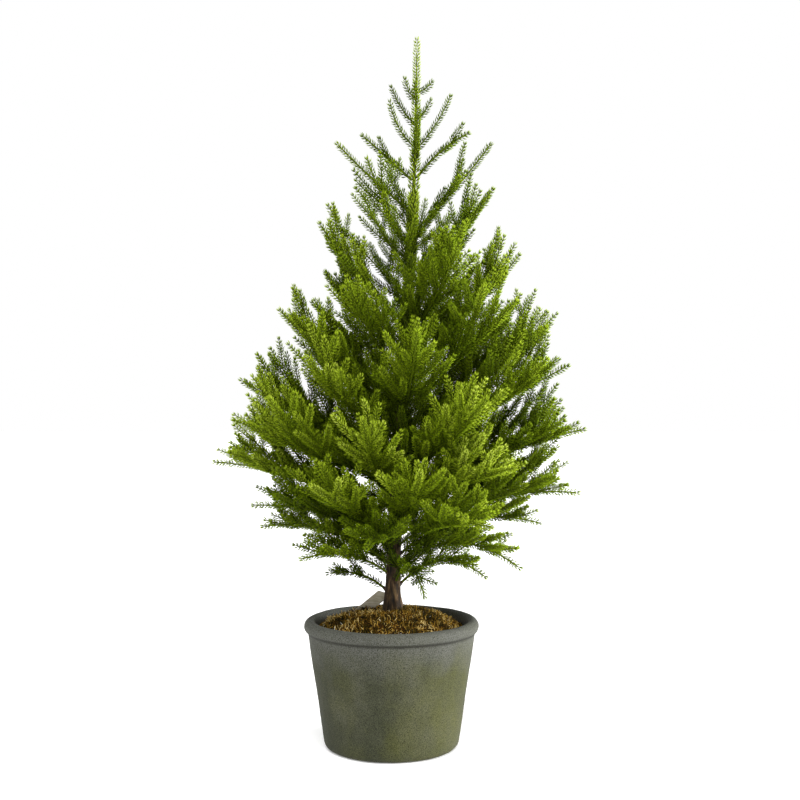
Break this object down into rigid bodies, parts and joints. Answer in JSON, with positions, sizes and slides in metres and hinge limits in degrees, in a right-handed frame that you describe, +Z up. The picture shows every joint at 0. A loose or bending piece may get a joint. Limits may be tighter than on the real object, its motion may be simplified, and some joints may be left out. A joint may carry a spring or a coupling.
{
  "type": "artificial tabletop tree",
  "caption": "Potted artificial tabletop conifer with bendable needled branches and a bendable leader, in a round rolled-rim planter topped with dried moss.",
  "frame": {"origin": "middle of the planter's flat bottom", "axes": "+Z up along the planter; -Y towards the front, the side the tree is shown from; +X to the right seen from the front"},
  "size_m": [0.5065, 0.404, 0.914],
  "materials": {
    "fibre_clay": "matte fibre clay with a mossy bloom",
    "cement": "rough cast cement",
    "foam": "dry rigid foam",
    "dried_moss": "dried moss mat",
    "moulded_bark": "moulded bark",
    "steel_rod": "plain steel",
    "brace_strip": "pale flat strip",
    "green_plastic": "moulded foliage green",
    "leader_green": "moulded foliage, lighter green"
  },
  "bodies": {
    "stand": {"planter": "fibre_clay", "cement_ballast": "cement", "foam_block": "foam", "moss_mat": "dried_moss", "trunk": "moulded_bark", "core_rod": "steel_rod", "brace_strip": "brace_strip"},
    "leader": {"leader": "leader_green"},
    "branch_01": {"branch_01": "green_plastic"},
    "branch_02": {"branch_02": "green_plastic"},
    "branch_03": {"branch_03": "green_plastic"},
    "branch_04": {"branch_04": "green_plastic"},
    "branch_05": {"branch_05": "green_plastic"},
    "branch_06": {"branch_06": "green_plastic"},
    "branch_07": {"branch_07": "green_plastic"},
    "branch_08": {"branch_08": "green_plastic"},
    "branch_09": {"branch_09": "green_plastic"},
    "branch_10": {"branch_10": "green_plastic"},
    "branch_11": {"branch_11": "green_plastic"},
    "branch_12": {"branch_12": "green_plastic"},
    "branch_13": {"branch_13": "green_plastic"},
    "branch_14": {"branch_14": "green_plastic"},
    "branch_15": {"branch_15": "green_plastic"},
    "branch_16": {"branch_16": "green_plastic"},
    "branch_17": {"branch_17": "green_plastic"},
    "branch_18": {"branch_18": "green_plastic"},
    "branch_19": {"branch_19": "green_plastic"},
    "branch_20": {"branch_20": "green_plastic"},
    "branch_21": {"branch_21": "green_plastic"},
    "branch_22": {"branch_22": "green_plastic"},
    "branch_23": {"branch_23": "green_plastic"},
    "branch_24": {"branch_24": "green_plastic"},
    "branch_25": {"branch_25": "green_plastic"},
    "branch_26": {"branch_26": "green_plastic"},
    "branch_27": {"branch_27": "green_plastic"},
    "branch_28": {"branch_28": "green_plastic"},
    "branch_29": {"branch_29": "green_plastic"},
    "branch_30": {"branch_30": "green_plastic"},
    "branch_31": {"branch_31": "green_plastic"},
    "branch_32": {"branch_32": "green_plastic"},
    "branch_33": {"branch_33": "green_plastic"},
    "branch_34": {"branch_34": "green_plastic"},
    "branch_35": {"branch_35": "green_plastic"},
    "branch_36": {"branch_36": "green_plastic"},
    "branch_37": {"branch_37": "green_plastic"},
    "branch_38": {"branch_38": "green_plastic"},
    "branch_39": {"branch_39": "green_plastic"},
    "branch_40": {"branch_40": "green_plastic"},
    "branch_41": {"branch_41": "green_plastic"},
    "branch_42": {"branch_42": "green_plastic"},
    "branch_43": {"branch_43": "green_plastic"},
    "branch_44": {"branch_44": "green_plastic"},
    "branch_45": {"branch_45": "green_plastic"},
    "branch_46": {"branch_46": "green_plastic"},
    "branch_47": {"branch_47": "green_plastic"},
    "branch_48": {"branch_48": "green_plastic"},
    "branch_49": {"branch_49": "green_plastic"},
    "branch_50": {"branch_50": "green_plastic"}
  },
  "joints": [
    {"name": "leader_bend", "type": "hinge", "parent": "stand", "child": "leader", "pos_m": [0.02866, 0.00298, 0.71559], "axis": [0, -1, 0], "range_deg": [-12, 12]},
    {"name": "branch_01_bend", "type": "hinge", "parent": "stand", "child": "branch_01", "pos_m": [-0.01039, 0.00058, 0.20357], "axis": [0.1045, 0.9945, 0], "range_deg": [-8, 8]},
    {"name": "branch_02_bend", "type": "hinge", "parent": "stand", "child": "branch_02", "pos_m": [0.01351, -0.00006, 0.21071], "axis": [0.0698, -0.9976, 0], "range_deg": [-8, 8]},
    {"name": "branch_03_bend", "type": "hinge", "parent": "stand", "child": "branch_03", "pos_m": [0.00601, -0.01166, 0.21428], "axis": [-0.9397, -0.342, 0], "range_deg": [-8, 8]},
    {"name": "branch_04_bend", "type": "hinge", "parent": "stand", "child": "branch_04", "pos_m": [-0.00205, 0.00962, 0.21785], "axis": [0.9272, 0.3746, 0], "range_deg": [-8, 8]},
    {"name": "branch_05_bend", "type": "hinge", "parent": "stand", "child": "branch_05", "pos_m": [-0.00645, -0.00823, 0.22499], "axis": [-0.6157, 0.788, 0], "range_deg": [-8, 8]},
    {"name": "branch_06_bend", "type": "hinge", "parent": "stand", "child": "branch_06", "pos_m": [0.00954, 0.00751, 0.22856], "axis": [0.788, -0.6157, 0], "range_deg": [-8, 8]},
    {"name": "branch_07_bend", "type": "hinge", "parent": "stand", "child": "branch_07", "pos_m": [0.01302, -0.00552, 0.2357], "axis": [-0.3746, -0.9272, 0], "range_deg": [-8, 6]},
    {"name": "branch_08_bend", "type": "hinge", "parent": "stand", "child": "branch_08", "pos_m": [-0.00802, 0.00003, 0.23927], "axis": [0.1392, 0.9903, 0], "range_deg": [-8, 6]},
    {"name": "branch_09_bend", "type": "hinge", "parent": "stand", "child": "branch_09", "pos_m": [0.00104, -0.01243, 0.24641], "axis": [-0.9781, 0.2079, 0], "range_deg": [-8, 8]},
    {"name": "branch_10_bend", "type": "hinge", "parent": "stand", "child": "branch_10", "pos_m": [0.01422, 0.00014, 0.24998], "axis": [0.1736, -0.9848, 0], "range_deg": [-8, 7]},
    {"name": "branch_11_bend", "type": "hinge", "parent": "stand", "child": "branch_11", "pos_m": [-0.00392, 0.006, 0.25712], "axis": [0.7193, 0.6947, 0], "range_deg": [-6, 8]},
    {"name": "branch_12_bend", "type": "hinge", "parent": "stand", "child": "branch_12", "pos_m": [0.0102, -0.01073, 0.26069], "axis": [-0.809, -0.5878, 0], "range_deg": [-7, 7]},
    {"name": "branch_13_bend", "type": "hinge", "parent": "stand", "child": "branch_13", "pos_m": [0.00548, 0.00867, 0.26426], "axis": [0.9903, -0.1392, 0], "range_deg": [-8, 6]},
    {"name": "branch_14_bend", "type": "hinge", "parent": "stand", "child": "branch_14", "pos_m": [-0.00589, -0.00585, 0.2714], "axis": [-0.342, 0.9397, 0], "range_deg": [-8, 5]},
    {"name": "branch_15_bend", "type": "hinge", "parent": "stand", "child": "branch_15", "pos_m": [0.01488, -0.00428, 0.27497], "axis": [-0.1908, -0.9816, 0], "range_deg": [-8, 5]},
    {"name": "branch_16_bend", "type": "hinge", "parent": "stand", "child": "branch_16", "pos_m": [-0.00144, -0.01133, 0.28211], "axis": [-0.829, 0.5592, 0], "range_deg": [-5, 8]},
    {"name": "branch_17_bend", "type": "hinge", "parent": "stand", "child": "branch_17", "pos_m": [0.01331, 0.00413, 0.28925], "axis": [0.6157, -0.788, 0], "range_deg": [-5, 8]},
    {"name": "branch_18_bend", "type": "hinge", "parent": "stand", "child": "branch_18", "pos_m": [-0.00539, -0.00182, 0.29639], "axis": [0.0698, 0.9976, 0], "range_deg": [-5, 8]},
    {"name": "branch_19_bend", "type": "hinge", "parent": "stand", "child": "branch_19", "pos_m": [0.00714, -0.0131, 0.29996], "axis": [-0.9848, -0.1736, 0], "range_deg": [-8, 8]},
    {"name": "branch_20_bend", "type": "hinge", "parent": "stand", "child": "branch_20", "pos_m": [0.00374, 0.00769, 0.3071], "axis": [0.9848, 0.1736, 0], "range_deg": [-8, 8]},
    {"name": "branch_21_bend", "type": "hinge", "parent": "stand", "child": "branch_21", "pos_m": [0.01311, -0.00997, 0.3071], "axis": [-0.6947, -0.7193, 0], "range_deg": [-5, 4]},
    {"name": "branch_22_bend", "type": "hinge", "parent": "stand", "child": "branch_22", "pos_m": [0.01672, -0.00235, 0.32852], "axis": [0.0523, -0.9986, 0], "range_deg": [-4, 8]},
    {"name": "branch_23_bend", "type": "hinge", "parent": "stand", "child": "branch_23", "pos_m": [-0.00245, 0.00231, 0.33209], "axis": [0.5, 0.866, 0], "range_deg": [-8, 7]},
    {"name": "branch_24_bend", "type": "hinge", "parent": "stand", "child": "branch_24", "pos_m": [-0.00232, -0.00745, 0.33923], "axis": [-0.4384, 0.8988, 0], "range_deg": [-8, 8]},
    {"name": "branch_25_bend", "type": "hinge", "parent": "stand", "child": "branch_25", "pos_m": [0.00454, -0.01297, 0.34637], "axis": [-0.9659, 0.2588, 0], "range_deg": [-8, 8]},
    {"name": "branch_26_bend", "type": "hinge", "parent": "stand", "child": "branch_26", "pos_m": [0.01262, 0.0058, 0.35351], "axis": [0.866, -0.5, 0], "range_deg": [-8, 7]},
    {"name": "branch_27_bend", "type": "hinge", "parent": "stand", "child": "branch_27", "pos_m": [0.01356, -0.01143, 0.36065], "axis": [-0.829, -0.5592, 0], "range_deg": [-8, 8]},
    {"name": "branch_28_bend", "type": "hinge", "parent": "stand", "child": "branch_28", "pos_m": [-0.00171, -0.00299, 0.37136], "axis": [0, 1, 0], "range_deg": [-8, 8]},
    {"name": "branch_29_bend", "type": "hinge", "parent": "stand", "child": "branch_29", "pos_m": [0.01864, -0.00471, 0.3785], "axis": [-0.1736, -0.9848, 0], "range_deg": [-8, 8]},
    {"name": "branch_30_bend", "type": "hinge", "parent": "stand", "child": "branch_30", "pos_m": [0.00791, 0.00694, 0.38921], "axis": [0.9903, 0.1392, 0], "range_deg": [-8, 8]},
    {"name": "branch_31_bend", "type": "hinge", "parent": "stand", "child": "branch_31", "pos_m": [0.00281, -0.00988, 0.39992], "axis": [-0.7071, 0.7071, 0], "range_deg": [-8, 8]},
    {"name": "branch_32_bend", "type": "hinge", "parent": "stand", "child": "branch_32", "pos_m": [0.01959, 0.00096, 0.41063], "axis": [0.3746, -0.9272, 0], "range_deg": [-8, 8]},
    {"name": "branch_33_bend", "type": "hinge", "parent": "stand", "child": "branch_33", "pos_m": [0.00333, 0.00365, 0.41777], "axis": [0.6428, 0.766, 0], "range_deg": [-8, 7]},
    {"name": "branch_34_bend", "type": "hinge", "parent": "stand", "child": "branch_34", "pos_m": [0.01282, -0.01218, 0.42848], "axis": [-0.9903, -0.1392, 0], "range_deg": [-8, 8]},
    {"name": "branch_35_bend", "type": "hinge", "parent": "stand", "child": "branch_35", "pos_m": [0.00273, -0.00364, 0.44276], "axis": [-0.1392, 0.9903, 0], "range_deg": [-6, 8]},
    {"name": "branch_36_bend", "type": "hinge", "parent": "stand", "child": "branch_36", "pos_m": [0.02121, -0.00687, 0.45347], "axis": [-0.5, -0.866, 0], "range_deg": [-12, 12]},
    {"name": "branch_37_bend", "type": "hinge", "parent": "stand", "child": "branch_37", "pos_m": [0.01705, 0.00695, 0.46775], "axis": [0.9397, -0.342, 0], "range_deg": [-12, 12]},
    {"name": "branch_38_bend", "type": "hinge", "parent": "stand", "child": "branch_38", "pos_m": [0.01012, -0.00959, 0.48203], "axis": [-0.866, 0.5, 0], "range_deg": [-12, 12]},
    {"name": "branch_39_bend", "type": "hinge", "parent": "stand", "child": "branch_39", "pos_m": [0.02493, -0.00041, 0.49631], "axis": [0.0872, -0.9962, 0], "range_deg": [-12, 12]},
    {"name": "branch_40_bend", "type": "hinge", "parent": "stand", "child": "branch_40", "pos_m": [0.00905, 0.00373, 0.51416], "axis": [0.5, 0.866, 0], "range_deg": [-12, 12]},
    {"name": "branch_41_bend", "type": "hinge", "parent": "stand", "child": "branch_41", "pos_m": [0.02248, -0.00797, 0.53201], "axis": [-0.866, -0.5, 0], "range_deg": [-12, 12]},
    {"name": "branch_42_bend", "type": "hinge", "parent": "stand", "child": "branch_42", "pos_m": [0.01085, -0.00131, 0.55343], "axis": [-0.1736, 0.9848, 0], "range_deg": [-12, 12]},
    {"name": "branch_43_bend", "type": "hinge", "parent": "stand", "child": "branch_43", "pos_m": [0.02674, 0.00673, 0.57128], "axis": [0.7071, -0.7071, 0], "range_deg": [-12, 12]},
    {"name": "branch_44_bend", "type": "hinge", "parent": "stand", "child": "branch_44", "pos_m": [0.03036, -0.0009, 0.59627], "axis": [-0.2588, -0.9659, 0], "range_deg": [-12, 12]},
    {"name": "branch_45_bend", "type": "hinge", "parent": "stand", "child": "branch_45", "pos_m": [0.01807, 0.00757, 0.62126], "axis": [0.7071, 0.7071, 0], "range_deg": [-12, 12]},
    {"name": "branch_46_bend", "type": "hinge", "parent": "stand", "child": "branch_46", "pos_m": [0.02079, -0.00414, 0.64625], "axis": [-0.8192, 0.5736, 0], "range_deg": [-12, 12]},
    {"name": "branch_47_bend", "type": "hinge", "parent": "stand", "child": "branch_47", "pos_m": [0.03405, 0.00422, 0.67124], "axis": [0.2079, -0.9781, 0], "range_deg": [-12, 10]},
    {"name": "branch_48_bend", "type": "hinge", "parent": "stand", "child": "branch_48", "pos_m": [0.02062, 0.00313, 0.69623], "axis": [0.0349, 0.9994, 0], "range_deg": [-12, 12]},
    {"name": "branch_49_bend", "type": "hinge", "parent": "leader", "child": "branch_49", "pos_m": [0.03536, 0.00218, 0.73907], "axis": [-0.1392, -0.9903, 0], "range_deg": [-12, 12]},
    {"name": "branch_50_bend", "type": "hinge", "parent": "leader", "child": "branch_50", "pos_m": [0.02357, 0.00217, 0.7355], "axis": [-0.1392, 0.9903, 0], "range_deg": [-12, 12]}
  ]
}
